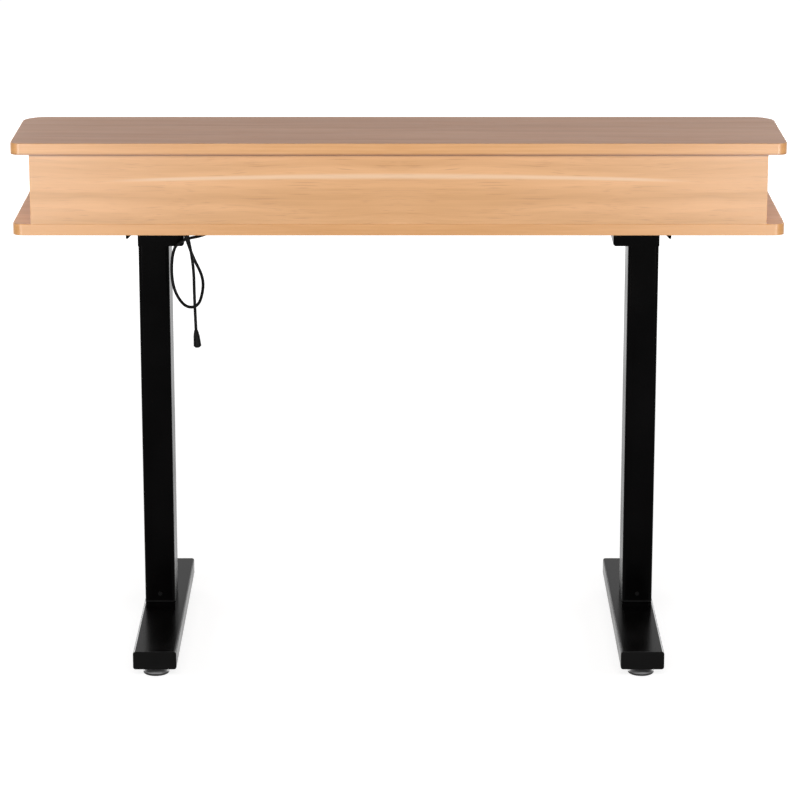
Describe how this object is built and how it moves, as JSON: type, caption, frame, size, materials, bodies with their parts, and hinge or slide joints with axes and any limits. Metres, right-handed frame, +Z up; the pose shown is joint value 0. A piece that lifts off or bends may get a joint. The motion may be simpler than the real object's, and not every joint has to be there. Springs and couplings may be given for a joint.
{
  "type": "height-adjustable computer desk",
  "caption": "Sit-stand computer desk: wide light-oak top, raised rear shelf with a closed back panel, and a black frame on telescopic columns with flat feet and a hanging power cord.",
  "frame": {"origin": "on the floor under the middle of the desk's outline, without its cord", "axes": "+X along the desk, to the right for somebody standing behind it; +Y from the rear edge to the user; +Z up"},
  "size_m": [1.2, 0.606, 0.88],
  "materials": {
    "board_face": "matt melamine, light oak print",
    "panel_face": "matt melamine, light oak print",
    "edge_band": "satin edge band, light oak print",
    "frame_black": "satin black powder coat",
    "black_plastic": "fine-grained black plastic",
    "zinc_steel": "bright zinc",
    "black_bolt": "black oxide",
    "spindle_steel": "ground steel",
    "cast_gearbox": "as cast",
    "nylon": "natural nylon",
    "motor_can": "satin black",
    "circuit": "solder mask",
    "dowel_wood": "fluted beech",
    "button_grey": "soft grey",
    "cord_black": "matt black sheath"
  },
  "bodies": {
    "left_leg": {"left_foot": "frame_black", "left_foot_caps": "black_plastic", "left_foot_bolts": "black_bolt", "left_inner_tube": "frame_black", "left_upper_guide": "nylon", "left_spindle_nut": "nylon"},
    "top": {"desktop": "board_face", "desktop_edge_band": "edge_band", "shelf": "board_face", "shelf_edge_band": "edge_band", "back_panel": "panel_face", "left_side_panel": "panel_face", "right_side_panel": "panel_face", "centre_divider": "panel_face", "riser_edge_bands": "edge_band", "riser_screws": "zinc_steel", "shelf_dowels": "dowel_wood", "cam_bolts": "zinc_steel", "cam_locks": "zinc_steel", "wood_screws": "black_bolt", "left_side_bracket": "frame_black", "right_side_bracket": "frame_black", "bracket_bolts": "black_bolt", "crossbeam": "frame_black", "crossbeam_bolts": "black_bolt", "left_head_housing": "frame_black", "right_head_housing": "frame_black", "left_gearbox": "cast_gearbox", "right_gearbox": "cast_gearbox", "gearbox_covers": "cast_gearbox", "left_motor": "motor_can", "right_motor": "motor_can", "spindle_bearings": "spindle_steel", "left_outer_tube": "frame_black", "right_outer_tube": "frame_black", "lower_guides": "black_plastic", "guide_screws": "zinc_steel", "control_box_base": "black_plastic", "control_box_cover": "black_plastic", "control_box_screws": "black_bolt", "control_board": "circuit", "cord_gland": "cord_black", "cable_clips": "black_plastic", "power_cord": "cord_black", "cord_connector": "black_plastic", "handset_housing": "black_plastic"},
    "right_leg": {"right_foot": "frame_black", "right_foot_caps": "black_plastic", "right_foot_bolts": "black_bolt", "right_inner_tube": "frame_black", "right_upper_guide": "nylon", "right_spindle_nut": "nylon"},
    "left_rear_glide": {"left_rear_glide": "black_plastic"},
    "left_front_glide": {"left_front_glide": "black_plastic"},
    "left_spindle": {"left_spindle": "spindle_steel"},
    "right_rear_glide": {"right_rear_glide": "black_plastic"},
    "right_front_glide": {"right_front_glide": "black_plastic"},
    "right_spindle": {"right_spindle": "spindle_steel"},
    "up_button": {"up_button": "button_grey"},
    "down_button": {"down_button": "button_grey"}
  },
  "joints": [
    {"name": "lift", "type": "slide", "parent": "left_leg", "child": "top", "axis": [0, 0, 1], "range_m": [0, 0.45]},
    {"name": "right_column", "type": "slide", "parent": "top", "child": "right_leg", "axis": [0, 0, -1], "range_m": [0, 0.45]},
    {"name": "left_spindle_turn", "type": "hinge", "parent": "top", "child": "left_spindle", "pos_m": [-0.399, -0.017, 0.4], "axis": [0, 0, 1], "range_deg": [0, 20250]},
    {"name": "left_rear_glide_turn", "type": "hinge", "parent": "left_leg", "child": "left_rear_glide", "pos_m": [-0.393, -0.252, 0.01], "axis": [0, 0, 1], "continuous": true},
    {"name": "left_front_glide_turn", "type": "hinge", "parent": "left_leg", "child": "left_front_glide", "pos_m": [-0.393, 0.173, 0.01], "axis": [0, 0, 1], "continuous": true},
    {"name": "right_spindle_turn", "type": "hinge", "parent": "top", "child": "right_spindle", "pos_m": [0.399, -0.017, 0.4], "axis": [0, 0, 1], "range_deg": [0, 20250]},
    {"name": "right_rear_glide_turn", "type": "hinge", "parent": "right_leg", "child": "right_rear_glide", "pos_m": [0.393, -0.252, 0.01], "axis": [0, 0, 1], "continuous": true},
    {"name": "right_front_glide_turn", "type": "hinge", "parent": "right_leg", "child": "right_front_glide", "pos_m": [0.393, 0.173, 0.01], "axis": [0, 0, 1], "continuous": true},
    {"name": "up_button_press", "type": "slide", "parent": "top", "child": "up_button", "axis": [0, -1, 0], "range_m": [0, 0.001], "stiffness_N_per_m": 600},
    {"name": "down_button_press", "type": "slide", "parent": "top", "child": "down_button", "axis": [0, -1, 0], "range_m": [0, 0.001], "stiffness_N_per_m": 600}
  ],
  "couplings": [
    {"joint": "right_column", "follows": "lift", "ratio": 1},
    {"joint": "left_spindle_turn", "follows": "lift", "rad_per_m": 785.4},
    {"joint": "right_spindle_turn", "follows": "lift", "rad_per_m": 785.4}
  ]
}
